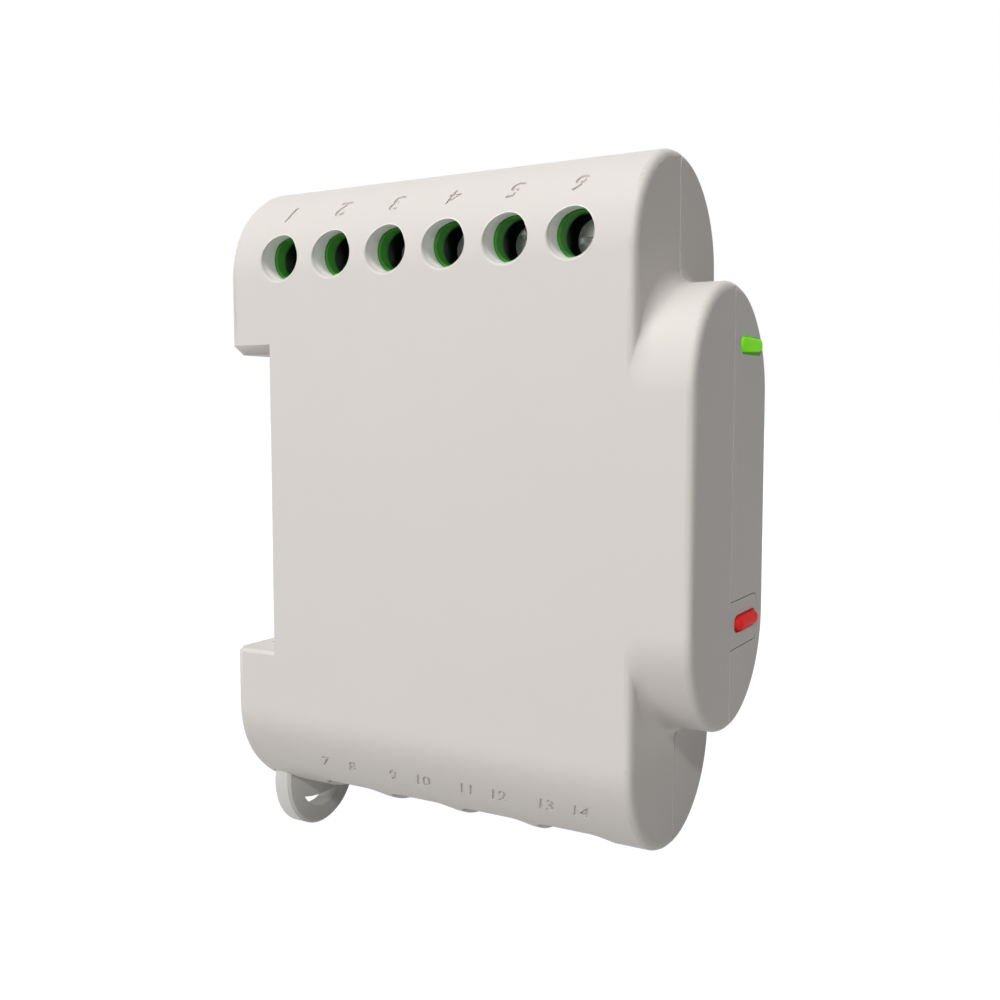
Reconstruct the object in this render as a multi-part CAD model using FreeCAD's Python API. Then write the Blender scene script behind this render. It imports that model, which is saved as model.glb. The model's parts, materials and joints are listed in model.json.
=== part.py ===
import FreeCAD, Part
import math
import os
from FreeCAD import Vector as V

# Three-phase energy meter for a 35 mm mounting rail.
# X runs along the rail, -Y is the front with the light and the button, +Z is up.
# The origin is the middle of the rail seat, the wall that the rail's front face rests on.
# Every size is in millimetres.

# Housing outline
WIDTH = 27.5
HEIGHT = 89.0
REAR_DEPTH = 7.8
BODY_DEPTH = 55.3
NOSE_DEPTH = 7.3
NOSE_HEIGHT = 56.0
WALL = 2.0
FRONT_EDGE_RADIUS = 1.3
REAR_EDGE_RADIUS = 2.2
NOSE_ROOT_RADIUS = 2.0
NOSE_ROOT_STEPS = 4

# Rail notch, with its fixed hook above and the shelf of the clip below
NOTCH_TOP = 20.1
NOTCH_BOTTOM = -22.3
LIP_EDGE = 1.3
SHELF_EDGE = 0.5
RAIL_HALF_HEIGHT = 17.5
RAIL_GRIP = 1.2
RAIL_FLANGE_GAP = 2.4
HOOK_THICKNESS = 2.2
HOOK_WIDTH = 15.0

# Tongue of the left shell that reaches over the seam and carries the button
TONGUE_REACH = 10.6
TONGUE_HEIGHT = 6.0
TONGUE_Z = -14.9
TONGUE_CORNER = 1.2
SEAM_GAP = 0.12
SEAM_LINE = 0.25
SEAM_DEPTH = 0.15
LIP_REACH = 1.2
LIP_THICKNESS = 1.0
LIP_CLEARANCE = 0.05

# Screw terminals along the top
TERMINAL_COUNT = 6
FIRST_TERMINAL_Y = -1.6
LAST_TERMINAL_MARGIN = 8.7
TERMINAL_PITCH = (BODY_DEPTH - LAST_TERMINAL_MARGIN + FIRST_TERMINAL_Y) / (TERMINAL_COUNT - 1)
SCREW_BELOW_TOP = 11.1
ACCESS_RADIUS = 3.1
ACCESS_RIM = 0.3
SCREW_RIB_X = -10.7
SCREW_RIB_HALF = 4.2
WIRE_ENTRY_X = 4.0
WIRE_ENTRY_WEB = 2.6
WIRE_ENTRY_RADIUS = (TERMINAL_PITCH - WIRE_ENTRY_WEB) / 2
WIRE_ENTRY_RIM = 0.6

# Inside each terminal, measured along X from the screw side
BLOCK_FACE_X = -8.7
BLOCK_HEIGHT = 10.4
BLOCK_BELOW_TOP = 6.4
BLOCK_EDGE = 0.4
RIDGE_HALF_HEIGHT = 3.6
RIDGE_CLEARANCE = 0.15
WELL_RADIUS = 2.75
CAVITY_X = -8.6
CAVITY_HALF = 3.3
LEDGE_X = -4.4
HEAD_CLEARANCE = 0.1
HEAD_THICKNESS = 1.2
DRIVE_WIDTH = 0.75
DRIVE_LENGTH = 3.2
DRIVE_DEPTH = 0.8
SLOT_LENGTH = 4.8
DRIVE_TURNS = (15, 70, 120, 150, 45, 0)
SHAFT_RADIUS = 1.5
RUNNING_CLEARANCE = 0.06
BAR_FACE_X = 0.7
BAR_THICKNESS = 0.8
BAR_SHOULDER_HEIGHT = 2.2
CAGE_WALL = 1.1
CAGE_SIDE_WALL = 0.8
BAR_TO_CAGE = 0.15
CAGE_WEB = 2.8
CAGE_WIDTH = TERMINAL_PITCH - CAGE_WEB
BAR_MARGIN = 1.1
BAR_WIDTH = CAGE_WIDTH - 2 * BAR_MARGIN
CAGE_DEPTH = 5.2
CAGE_CLEARANCE = 0.25
CAGE_TRAVEL = 2.6
WIRE_GAP = 3.0
WIRE_HOLE_RADIUS = 1.5

# Current transformer sockets along the bottom
SOCKET_COUNT = 4
FIRST_SOCKET_Y = -9.0
LAST_SOCKET_MARGIN = 11.05
SOCKET_PITCH = (BODY_DEPTH - LAST_SOCKET_MARGIN + FIRST_SOCKET_Y) / (SOCKET_COUNT - 1)
SOCKET_WEB = 3.15
SOCKET_LENGTH = SOCKET_PITCH - SOCKET_WEB
SOCKET_X = -1.3
SOCKET_WIDTH = 12.2
SOCKET_WALL = 0.9
SOCKET_FLOOR = 1.6
SOCKET_SINK = 3.3
SOCKET_DEPTH = 9.6
SOCKET_CLEARANCE = 0.3
SOCKET_RIM = 0.9
SOCKET_CORNER = 1.6
PIN_SIDE = 0.8
PIN_SPACING = 3.8
PIN_LENGTH = 6.4
PIN_RISE = 1.4
PIN_THROUGH = 0.6
PIN_HOLE_CLEARANCE = 0.05

# Boards
BOARD_X = 6.8
BOARD_THICKNESS = 1.6
BOARD_END_GAP = 2.0
BOARD_EDGE_GAP = 0.5
FRONT_BOARD_THICKNESS = 1.2
FRONT_BOARD_FACE_GAP = 4.4
FRONT_BOARD_MARGIN = 1.4
TAB_HALF_HEIGHT = 18.0
EAR_BOTTOM_Z = 23.0

# Posts of the left shell that hold the board against the right shell's bosses
POST_RADIUS = 2.4
REAR_POST_Y, REAR_POST_Z = -6.0, 14.0
FRONT_POST_MARGIN, FRONT_POST_Z = 6.3, 19.5
PEG_RADIUS = 1.2
PEG_CLEARANCE = 0.05
BOSS_RADIUS = 2.6
PEG_TIP_GAP = 0.6

# Green light pipe and red button, both small bars in the nose
PILL_LENGTH = 8.4
PILL_HEIGHT = 2.1
LIGHT_PROUD = 0.8
BUTTON_PROUD = 1.0
PILL_EDGE = 0.3
PILL_CLEARANCE = 0.12
LIGHT_X = 6.6
LIGHT_Z = 20.4
BUTTON_X = 5.7
BUTTON_Z = -14.9
BUTTON_TRAVEL = 0.5
FLANGE_MARGIN = 0.8
FLANGE_THICKNESS = 0.9
FLANGE_GAP = 0.1
SWITCH_SIDE = 6.0
SWITCH_EDGE = 0.4
PLUNGER_RADIUS = 1.1
PLUNGER_PROUD = 1.0
LED_SIDE = 3.0
LED_HEIGHT = 1.1
LED_GAP = 0.2

# Rail clip, a sliding plate that ends in a pull ring
CLIP_REAR_Y = 5.2
CLIP_THICKNESS = 2.7
CLIP_WIDTH = 16.2
CLIP_CLEARANCE = 0.2
CLIP_CORNER_RADIUS = 3.0
CLIP_RAMP = 1.3
RING_CENTRE_Z = -43.7
RING_WALL = 2.7
RING_EDGE = 0.4
SLOT_OFFSET = 2.75
WINDOW_WIDTH = 3.6
KEY_WIDTH = 3.2
KEY_HEIGHT = 2.0
KEY_TOP_Z = -34.0
SPRING_LENGTH = 8.0
SPRING_RADIUS = 1.3
SPRING_WALL = 0.3

# Parts on the board: place along Y and Z of their middles, and sizes along X, Y and Z
CORE_Y, CORE_Z = -19.0, 0.5
CORE_RISE, CORE_SPAN, CORE_STACK = 10.8, 16.0, 6.6
CORE_LIMB = 2.2
WINDING_MARGIN = 0.2
WINDING_STACK = 14.0
CAPACITOR_Y, CAPACITOR_Z, CAPACITOR_SPACING = -34.5, 1.5, 9.4
CAPACITOR_RADIUS, CAPACITOR_RISE = 4.0, 11.5
CAPACITOR_EDGE = 0.5
CHIP_Y, CHIP_Z, CHIP_SIDE, CHIP_RISE = -36.0, 17.5, 10.0, 1.4
RADIO_FROM_POST, RADIO_ABOVE_SOCKETS = 12.5, 3.3
RADIO_LENGTH, RADIO_HEIGHT, RADIO_BOARD = 18.0, 15.6, 0.8
SHIELD_LENGTH, SHIELD_RISE, SHIELD_MARGIN, SHIELD_EDGE = 12.0, 2.4, 0.8, 0.3
VARISTOR_Y, VARISTOR_Z, VARISTOR_RADIUS, VARISTOR_THICKNESS = -13.5, 18.5, 4.5, 3.4
VARISTOR_EDGE = 0.9
FUSE_Y, FUSE_Z, FUSE_RADIUS, FUSE_LENGTH, FUSE_STANDOFF = -22.5, 18.0, 1.7, 10.0, 0.2
HEADER_RISE, HEADER_HEIGHT = 2.5, 16.0

# Values worked out from the sizes above
HALF_WIDTH = WIDTH / 2
HALF_HEIGHT = HEIGHT / 2
NOSE_HALF_HEIGHT = NOSE_HEIGHT / 2
REAR_Y = REAR_DEPTH
FRONT_Y = -BODY_DEPTH
NOSE_Y = FRONT_Y - NOSE_DEPTH
INNER_HALF_WIDTH = HALF_WIDTH - WALL
NOSE_INNER_Y = NOSE_Y + WALL
SCREW_Z = HALF_HEIGHT - SCREW_BELOW_TOP
BLOCK_TOP_Z = HALF_HEIGHT - BLOCK_BELOW_TOP
BLOCK_BOTTOM_Z = BLOCK_TOP_Z - BLOCK_HEIGHT
SOCKET_MOUTH_Z = SOCKET_SINK - HALF_HEIGHT
HEAD_RADIUS = WELL_RADIUS - HEAD_CLEARANCE
BLOCK_END_Y = FIRST_TERMINAL_Y + TERMINAL_PITCH / 2
BLOCK_LENGTH = TERMINAL_COUNT * TERMINAL_PITCH
CAGE_OUTER_X = BAR_FACE_X - BAR_TO_CAGE - CAGE_WALL
CAGE_FLOOR_X = BAR_FACE_X + BAR_THICKNESS + WIRE_GAP
BOARD_BACK_X = BOARD_X + BOARD_THICKNESS
BOARD_CORNER_RISE = math.sqrt(INNER_HALF_WIDTH ** 2 - BOARD_BACK_X ** 2)
BOARD_HALF_HEIGHT = HALF_HEIGHT - HALF_WIDTH + BOARD_CORNER_RISE - BOARD_END_GAP
FRONT_BOARD_Y = NOSE_INNER_Y + FRONT_BOARD_FACE_GAP
FRONT_POST_Y = FRONT_Y + FRONT_POST_MARGIN
POST_PLACES = ((REAR_POST_Y, REAR_POST_Z), (REAR_POST_Y, -REAR_POST_Z),
               (FRONT_POST_Y, FRONT_POST_Z), (FRONT_POST_Y, -FRONT_POST_Z))
RADIO_Y = FRONT_POST_Y + RADIO_FROM_POST
RADIO_Z = SOCKET_MOUTH_Z + SOCKET_DEPTH + RADIO_ABOVE_SOCKETS + RADIO_HEIGHT / 2
CLIP_FRONT_Y = CLIP_REAR_Y - CLIP_THICKNESS
CLIP_HALF_WIDTH = CLIP_WIDTH / 2
CLIP_TOP_Z = -(RAIL_HALF_HEIGHT - RAIL_GRIP)
WINDOW_TOP_Z = KEY_TOP_Z + SPRING_LENGTH
WINDOW_BOTTOM_Z = KEY_TOP_Z - KEY_HEIGHT - RUNNING_CLEARANCE
FLANGE_FRONT_Y = NOSE_INNER_Y + FLANGE_GAP
FLANGE_REAR_Y = FLANGE_FRONT_Y + FLANGE_THICKNESS
SWITCH_FRONT_Y = FLANGE_REAR_Y + PLUNGER_PROUD
FAR = 200.0


def terminal_y(index):
    return FIRST_TERMINAL_Y - index * TERMINAL_PITCH


def socket_y(index):
    return FIRST_SOCKET_Y - index * SOCKET_PITCH


def block(x0, x1, y0, y1, z0, z1):
    """A box between two corners, given in any order."""
    low = V(min(x0, x1), min(y0, y1), min(z0, z1))
    return Part.makeBox(abs(x1 - x0), abs(y1 - y0), abs(z1 - z0), low)


def rod_x(radius, x0, x1, y, z):
    return Part.makeCylinder(radius, x1 - x0, V(x0, y, z), V(1, 0, 0))


def stadium_wire(half_width, half_height, y):
    """Upright outline with straight sides and half-round ends, in the plane at y."""
    end = half_height - half_width
    low_right = V(half_width, y, -end)
    high_right = V(half_width, y, end)
    high_left = V(-half_width, y, end)
    low_left = V(-half_width, y, -end)
    return Part.Wire([
        Part.LineSegment(low_right, high_right).toShape(),
        Part.Arc(high_right, V(0, y, half_height), high_left).toShape(),
        Part.LineSegment(high_left, low_left).toShape(),
        Part.Arc(low_left, V(0, y, -half_height), low_right).toShape(),
    ])


def stadium_prism(half_width, half_height, y_rear, y_front):
    face = Part.Face(stadium_wire(half_width, half_height, y_rear))
    return face.extrude(V(0, y_front - y_rear, 0))


def edges_in_plane(shape, axis, value):
    """Edges whose every point lies in the plane where the coordinate has this value."""
    found = []
    for edge in shape.Edges:
        box = edge.BoundBox
        low, high = getattr(box, axis + "Min"), getattr(box, axis + "Max")
        if abs(low - value) < 1e-5 and abs(high - value) < 1e-5:
            found.append(edge)
    return found


def pill(x_middle, z_middle, length, height, y0, y1):
    """A bar along X with half-round ends, between two planes of y."""
    radius = height / 2
    span = length / 2 - radius
    ends = [V(x_middle + s * span, y0, z_middle) for s in (-1, 1)]
    shape = block(ends[0].x, ends[1].x, y0, y1, z_middle - radius, z_middle + radius)
    rounds = [Part.makeCylinder(radius, y1 - y0, end, V(0, 1, 0)) for end in ends]
    return shape.fuse(rounds).removeSplitter()


def rounded_box(x0, x1, y0, y1, z0, z1, radius, axis):
    """A box with its four edges along one axis rounded."""
    shape = block(x0, x1, y0, y1, z0, z1)
    direction = {"X": V(1, 0, 0), "Y": V(0, 1, 0), "Z": V(0, 0, 1)}[axis]
    edges = [e for e in shape.Edges if abs(abs(e.tangentAt(e.FirstParameter).dot(direction)) - 1) < 1e-6]
    return shape.makeFillet(radius, edges)


def corners(edge):
    box = edge.BoundBox
    return (box.XMin, box.XMax, box.YMin, box.YMax, box.ZMin, box.ZMax)


def spread(first, second):
    return max(abs(a - b) for a, b in zip(first, second))


def softened(shape, edges_of, radius):
    """Edges rounded in three flat strips that touch a round of this radius.

    The first cut is the middle strip, and the second trims the two edges that it leaves."""
    turn = math.radians(22.5)
    first = radius * (1 - math.tan(turn))
    second = radius * (math.tan(turn) - math.tan(turn / 2))
    before = edges_of(shape)
    shape = shape.makeChamfer(first, before)
    spots = [corners(edge) for edge in before]
    left = [e for e in shape.Edges if any(spread(corners(e), spot) < first + 1e-4 for spot in spots)]
    return shape.makeChamfer(second, left)


def nose_root(sign):
    """The hollow blend between the nose and the shoulder above or below it.

    The nose's half-round end is carried along a concave quarter turn, in straight steps, without
    turning, so the blend is widest at the middle of the end and fades out at the flat sides."""
    root = NOSE_HALF_HEIGHT + NOSE_ROOT_RADIUS
    end = sign * (root - HALF_WIDTH)
    right, left = V(HALF_WIDTH, FRONT_Y, end), V(-HALF_WIDTH, FRONT_Y, end)
    low_left, low_right = V(-HALF_WIDTH, FRONT_Y, 0), V(HALF_WIDTH, FRONT_Y, 0)
    section = Part.Wire([
        Part.Arc(right, V(0, FRONT_Y, sign * root), left).toShape(),
        Part.LineSegment(left, low_left).toShape(),
        Part.LineSegment(low_left, low_right).toShape(),
        Part.LineSegment(low_right, right).toShape(),
    ])
    steps, spot, pieces = NOSE_ROOT_STEPS, V(0, 0, 0), []
    for step in range(1, steps + 1):
        angle = math.radians(90) * step / steps
        target = V(0, -NOSE_ROOT_RADIUS * (1 - math.cos(angle)), -sign * NOSE_ROOT_RADIUS * math.sin(angle))
        face = Part.Face(section.translated(spot))
        pieces.append(face.extrude(target - spot))
        spot = target
    return pieces


def soft_prism(half_width, half_height, y_rear, y_front, rear_radius, front_radius):
    """A round-ended prism with its two outlines rounded, or left sharp where a radius is 0."""
    shape = stadium_prism(half_width, half_height, y_rear, y_front)
    if front_radius:
        shape = softened(shape, lambda form: edges_in_plane(form, "Y", y_front), front_radius)
    if rear_radius:
        shape = softened(shape, lambda form: edges_in_plane(form, "Y", y_rear), rear_radius)
    return shape


def seam_core():
    """Pieces that fill the body and the nose up to a thin skin, which the seam's groove is cut in."""
    skin, edge = SEAM_DEPTH, FRONT_EDGE_RADIUS - SEAM_DEPTH
    body = soft_prism(HALF_WIDTH - skin, HALF_HEIGHT - skin, REAR_Y - skin, FRONT_Y + skin,
                      REAR_EDGE_RADIUS - skin, edge)
    nose = soft_prism(HALF_WIDTH - skin, NOSE_HALF_HEIGHT - skin, FRONT_Y + REAR_DEPTH, NOSE_Y + skin,
                      0, edge)
    roots = [piece.translated(V(0, skin, -sign * skin)) for sign in (1, -1) for piece in nose_root(sign)]
    return [body, nose] + roots


def housing_outside():
    """The closed outer form of both shells: body, nose, their rounded edges and the rail notch."""
    body = soft_prism(HALF_WIDTH, HALF_HEIGHT, REAR_Y, FRONT_Y, REAR_EDGE_RADIUS, FRONT_EDGE_RADIUS)
    body = body.cut(block(-FAR, FAR, 0, FAR, NOTCH_BOTTOM, NOTCH_TOP))
    lip = [e for e in edges_in_plane(body, "Z", NOTCH_TOP) if e.BoundBox.YMax > 0.01]
    body = body.makeChamfer(LIP_EDGE, lip)
    shelf = [e for e in edges_in_plane(body, "Z", NOTCH_BOTTOM) if e.BoundBox.YMax > 0.01]
    body = body.makeChamfer(SHELF_EDGE, shelf)
    nose = soft_prism(HALF_WIDTH, NOSE_HALF_HEIGHT, FRONT_Y + REAR_DEPTH, NOSE_Y, 0, FRONT_EDGE_RADIUS)
    return body.fuse([nose] + nose_root(1) + nose_root(-1)).removeSplitter()


def housing_inside():
    """The hollow of the housing, one wall inside its outer form."""
    main = stadium_prism(INNER_HALF_WIDTH, HALF_HEIGHT - WALL, -WALL, FRONT_Y + WALL)
    nose = stadium_prism(INNER_HALF_WIDTH, NOSE_HALF_HEIGHT - WALL, FRONT_Y + WALL + REAR_DEPTH, NOSE_INNER_Y)
    upper = stadium_prism(INNER_HALF_WIDTH, HALF_HEIGHT - WALL, REAR_Y - WALL, -WALL)
    upper = upper.common(block(-FAR, FAR, -FAR, FAR, NOTCH_TOP + WALL, FAR))
    return main.fuse([nose, upper]).removeSplitter()


def screw_rib():
    """The thicker strip of wall that the screw holes pass through."""
    return block(-FAR, SCREW_RIB_X, BLOCK_END_Y, BLOCK_END_Y - BLOCK_LENGTH,
                 SCREW_Z - SCREW_RIB_HALF, SCREW_Z + SCREW_RIB_HALF)


def side_depth(offset):
    """How far the round end's wall stands from the middle plane, at this offset from its centre."""
    return math.sqrt(HALF_WIDTH ** 2 - offset ** 2)


def housing():
    """Both shells in one piece, with every opening cut and its rim bevelled."""
    shape = housing_outside()
    wall_z = HALF_HEIGHT - HALF_WIDTH
    access_x = -side_depth(SCREW_Z - wall_z)
    entry_z = wall_z + side_depth(WIRE_ENTRY_X)
    for index in range(TERMINAL_COUNT):
        y = terminal_y(index)
        access = rod_x(ACCESS_RADIUS, -FAR, -HALF_WIDTH / 2, y, SCREW_Z)
        rim = Part.makeCone(ACCESS_RADIUS + 2 * ACCESS_RIM, ACCESS_RADIUS, 2 * ACCESS_RIM,
                            V(access_x - ACCESS_RIM, y, SCREW_Z), V(1, 0, 0))
        entry = Part.makeCylinder(WIRE_ENTRY_RADIUS, FAR, V(WIRE_ENTRY_X, y, wall_z))
        mouth = Part.makeCone(WIRE_ENTRY_RADIUS, WIRE_ENTRY_RADIUS + 2 * WIRE_ENTRY_RIM, 2 * WIRE_ENTRY_RIM,
                              V(WIRE_ENTRY_X, y, entry_z - WIRE_ENTRY_RIM))
        shape = shape.cut([access, rim, entry, mouth])
    half, side = SOCKET_LENGTH / 2 + SOCKET_CLEARANCE, SOCKET_WIDTH / 2 + SOCKET_CLEARANCE
    for index in range(SOCKET_COUNT):
        y = socket_y(index)
        shape = shape.cut(rounded_box(SOCKET_X - side, SOCKET_X + side, y - half, y + half,
                                      -FAR, -wall_z, SOCKET_CORNER, "Z"))
    rims = [e for e in shape.Edges if e.BoundBox.ZMax < -wall_z - side and e.BoundBox.YLength < 2 * half + 0.1
            and e.BoundBox.XLength < 2 * side and e.BoundBox.ZLength < 2 * WALL
            and FRONT_Y + WALL < e.BoundBox.YMin and e.BoundBox.YMax < -WALL]
    shape = shape.makeChamfer(SOCKET_RIM, rims)
    return shape.cut(housing_inside().cut(screw_rib()))


def tongue(margin):
    """The left shell's tongue in the nose wall, made larger all round by a margin."""
    low, high = TONGUE_Z - TONGUE_HEIGHT / 2 - margin, TONGUE_Z + TONGUE_HEIGHT / 2 + margin
    shape = block(-WALL, TONGUE_REACH + margin, NOSE_Y - WALL, NOSE_INNER_Y + margin, low, high)
    corners = [e for e in shape.Edges if e.BoundBox.XMin > TONGUE_REACH - 1 and e.BoundBox.YLength > WALL]
    return shape.makeFillet(TONGUE_CORNER + margin, corners)


def lap(grow):
    """The inner part of the housing wall, where one shell's lip reaches behind the other."""
    inset = WALL - LIP_THICKNESS - grow
    main = stadium_prism(HALF_WIDTH - inset, HALF_HEIGHT - inset, -inset, FRONT_Y + inset)
    nose_rear = FRONT_Y + WALL + REAR_DEPTH
    nose = stadium_prism(HALF_WIDTH - inset, NOSE_HALF_HEIGHT - inset, nose_rear, NOSE_Y + inset)
    upper = stadium_prism(HALF_WIDTH - inset, HALF_HEIGHT - inset, REAR_Y - inset, -inset)
    upper = upper.common(block(-FAR, FAR, -FAR, FAR, NOTCH_TOP + inset, FAR))
    return main.fuse([nose, upper])


def clip_channel():
    """The slot in the lower lip that the rail clip slides in, round the key that stops it."""
    half = CLIP_HALF_WIDTH + CLIP_CLEARANCE
    front, rear = CLIP_FRONT_Y - CLIP_CLEARANCE, CLIP_REAR_Y + CLIP_CLEARANCE
    slot = block(-half, half, front, rear, -FAR, NOTCH_BOTTOM + 1)
    key = block(-KEY_WIDTH / 2, KEY_WIDTH / 2, -FAR, FAR, KEY_TOP_Z - KEY_HEIGHT, KEY_TOP_Z)
    return slot.cut(key)


def housing_with_fittings():
    """The housing with the clip channel and the two fixed hooks for the rail."""
    shape = housing().cut(clip_channel())
    tip = RAIL_HALF_HEIGHT - RAIL_GRIP
    hook = block(-HOOK_WIDTH / 2, HOOK_WIDTH / 2, RAIL_FLANGE_GAP, RAIL_FLANGE_GAP + HOOK_THICKNESS,
                 tip, NOTCH_TOP + WALL)
    ramp = [e for e in edges_in_plane(hook, "Z", tip) if e.BoundBox.YMin > RAIL_FLANGE_GAP + 1]
    hook = hook.makeChamfer(RAIL_GRIP, ramp)
    return shape.fuse(hook).removeSplitter()


def left_shell(both):
    """The shell with the screw holes: half the housing, its lip, the tongue and the board posts."""
    half = both.common(block(-FAR, 0, -FAR, FAR, -FAR, FAR))
    lip = both.common(lap(0)).common(block(0, LIP_REACH, -FAR, 0, -FAR, FAR))
    seat = block(-KEY_WIDTH, KEY_WIDTH, -WALL, FAR, -FAR, FAR)
    shape = half.fuse([lip.cut(seat), both.common(tongue(0))])
    for y, z in POST_PLACES:
        post = rod_x(POST_RADIUS, -INNER_HALF_WIDTH - WALL / 2, BOARD_X, y, z)
        peg = rod_x(PEG_RADIUS, BOARD_X, INNER_HALF_WIDTH - PEG_TIP_GAP, y, z)
        shape = shape.fuse([post, peg])
    slot = pill(BUTTON_X, BUTTON_Z, PILL_LENGTH + 2 * PILL_CLEARANCE, PILL_HEIGHT + 2 * PILL_CLEARANCE,
                NOSE_Y - WALL, NOSE_INNER_Y + WALL)
    return shape.cut(slot).removeSplitter()


def right_shell(both):
    """The plain shell: half the housing, with the light slot and the bosses for the pegs."""
    half = both.common(block(0, FAR, -FAR, FAR, -FAR, FAR))
    line = block(-1, SEAM_LINE, -FAR, -WALL / 4, -FAR, FAR).cut(seam_core())
    rebate = lap(LIP_CLEARANCE).common(block(-1, LIP_REACH + LIP_CLEARANCE, -FAR, LIP_CLEARANCE, -FAR, FAR))
    seat = block(-KEY_WIDTH, KEY_WIDTH, -WALL + LIP_CLEARANCE, FAR, -FAR, FAR)
    shape = half.cut([line, rebate.cut(seat), tongue(SEAM_GAP)])
    for y, z in POST_PLACES:
        shape = shape.fuse(rod_x(BOSS_RADIUS, BOARD_BACK_X, INNER_HALF_WIDTH + WALL / 2, y, z))
    for y, z in POST_PLACES:
        shape = shape.cut(rod_x(PEG_RADIUS + PEG_CLEARANCE, 0, INNER_HALF_WIDTH - PEG_TIP_GAP / 2, y, z))
    slot = pill(LIGHT_X, LIGHT_Z, PILL_LENGTH + 2 * PILL_CLEARANCE, PILL_HEIGHT + 2 * PILL_CLEARANCE,
                NOSE_Y - WALL, NOSE_INNER_Y + WALL)
    return shape.cut(slot)


def rail_clip():
    """The sliding plate that grips the rail's lower edge and ends in a pull ring."""
    middle = V(0, CLIP_FRONT_Y, RING_CENTRE_Z)
    plate = block(-CLIP_HALF_WIDTH, CLIP_HALF_WIDTH, CLIP_FRONT_Y, CLIP_REAR_Y, RING_CENTRE_Z, CLIP_TOP_Z)
    ends = [e for e in plate.Edges if e.BoundBox.ZMin > CLIP_TOP_Z - 1 and e.BoundBox.YLength > 1]
    plate = plate.makeFillet(CLIP_CORNER_RADIUS, ends)
    top = [e for e in edges_in_plane(plate, "Z", CLIP_TOP_Z) if e.BoundBox.YMin > CLIP_REAR_Y - 0.01]
    plate = plate.makeChamfer(CLIP_RAMP, top)
    disc = Part.makeCylinder(CLIP_HALF_WIDTH, CLIP_THICKNESS, middle, V(0, 1, 0))
    shape = plate.fuse(disc).removeSplitter()
    bore = Part.makeCylinder(CLIP_HALF_WIDTH - RING_WALL, FAR, V(0, -FAR / 2, RING_CENTRE_Z), V(0, 1, 0))
    end = V(0, -FAR / 2, -(HALF_HEIGHT - HALF_WIDTH))
    shoulder = Part.makeCylinder(HALF_WIDTH + SLOT_OFFSET, FAR, end, V(0, 1, 0))
    shape = shape.cut(bore.cut(shoulder))
    half = WINDOW_WIDTH / 2
    window = rounded_box(-half, half, -FAR, FAR, WINDOW_BOTTOM_Z, WINDOW_TOP_Z, 0.3, "Y")
    shape = shape.cut(window)
    low = [e for e in shape.Edges if e.BoundBox.ZMax < RING_CENTRE_Z + 0.01 and e.BoundBox.YLength < 0.01]
    return shape.makeChamfer(RING_EDGE, [e for e in low if e.BoundBox.XLength > CLIP_WIDTH - 1])


def clip_spring():
    """The compression spring between the key and the top of the clip's window, as a plain sleeve."""
    base = V(0, (CLIP_FRONT_Y + CLIP_REAR_Y) / 2, KEY_TOP_Z)
    outside = Part.makeCylinder(SPRING_RADIUS, SPRING_LENGTH, base)
    return outside.cut(Part.makeCylinder(SPRING_RADIUS - SPRING_WALL, SPRING_LENGTH, base))


def nose_room():
    """The space inside the nose, less a clearance."""
    gap = WALL + PILL_CLEARANCE
    return stadium_prism(HALF_WIDTH - gap, NOSE_HALF_HEIGHT - gap, FRONT_Y, NOSE_Y)


def front_bar(x, z, proud, stem_rear):
    """A pill-shaped bar through the nose wall, with a flange behind it and a stem."""
    bar = pill(x, z, PILL_LENGTH, PILL_HEIGHT, NOSE_Y - proud, FLANGE_FRONT_Y)
    bar = bar.makeChamfer(PILL_EDGE, edges_in_plane(bar, "Y", NOSE_Y - proud))
    flange = pill(x, z, PILL_LENGTH + 2 * FLANGE_MARGIN, PILL_HEIGHT + 2 * FLANGE_MARGIN,
                  FLANGE_FRONT_Y, FLANGE_REAR_Y)
    pieces = [flange.common(nose_room())]
    if stem_rear > FLANGE_REAR_Y:
        pieces.append(pill(x, z, LED_SIDE + 1, PILL_HEIGHT + 1, FLANGE_REAR_Y, stem_rear))
    return bar.fuse(pieces).removeSplitter()


def switch_plunger():
    rear = SWITCH_FRONT_Y + PLUNGER_PROUD
    place = V(BUTTON_X, FLANGE_REAR_Y, BUTTON_Z)
    return Part.makeCylinder(PLUNGER_RADIUS, rear - FLANGE_REAR_Y, place, V(0, 1, 0))


def switch_body():
    """A push switch on the front board, with a well that its plunger slides in."""
    half = SWITCH_SIDE / 2
    shape = rounded_box(BUTTON_X - half, BUTTON_X + half, SWITCH_FRONT_Y, FRONT_BOARD_Y,
                        BUTTON_Z - half, BUTTON_Z + half, SWITCH_EDGE, "Y")
    depth = PLUNGER_PROUD + BUTTON_TRAVEL + 2 * FLANGE_GAP
    place = V(BUTTON_X, SWITCH_FRONT_Y, BUTTON_Z)
    well = Part.makeCylinder(PLUNGER_RADIUS + RUNNING_CLEARANCE, depth, place, V(0, 1, 0))
    return shape.cut(well)


def status_led():
    half = LED_SIDE / 2
    return block(LIGHT_X - half, LIGHT_X + half, FRONT_BOARD_Y - LED_HEIGHT, FRONT_BOARD_Y,
                 LIGHT_Z - half, LIGHT_Z + half)


def front_board():
    rear = FRONT_BOARD_Y + FRONT_BOARD_THICKNESS
    half_height = NOSE_HALF_HEIGHT - WALL - FRONT_BOARD_MARGIN
    return stadium_prism(INNER_HALF_WIDTH - FRONT_BOARD_MARGIN, half_height, rear, FRONT_BOARD_Y)


def pin_places(index):
    return [V(SOCKET_X, socket_y(index) + s * PIN_SPACING / 2, 0) for s in (-1, 1)]


def socket_floor_z():
    return SOCKET_MOUTH_Z + SOCKET_DEPTH


def pin_turn_z():
    return socket_floor_z() + SOCKET_FLOOR + PIN_RISE


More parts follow.
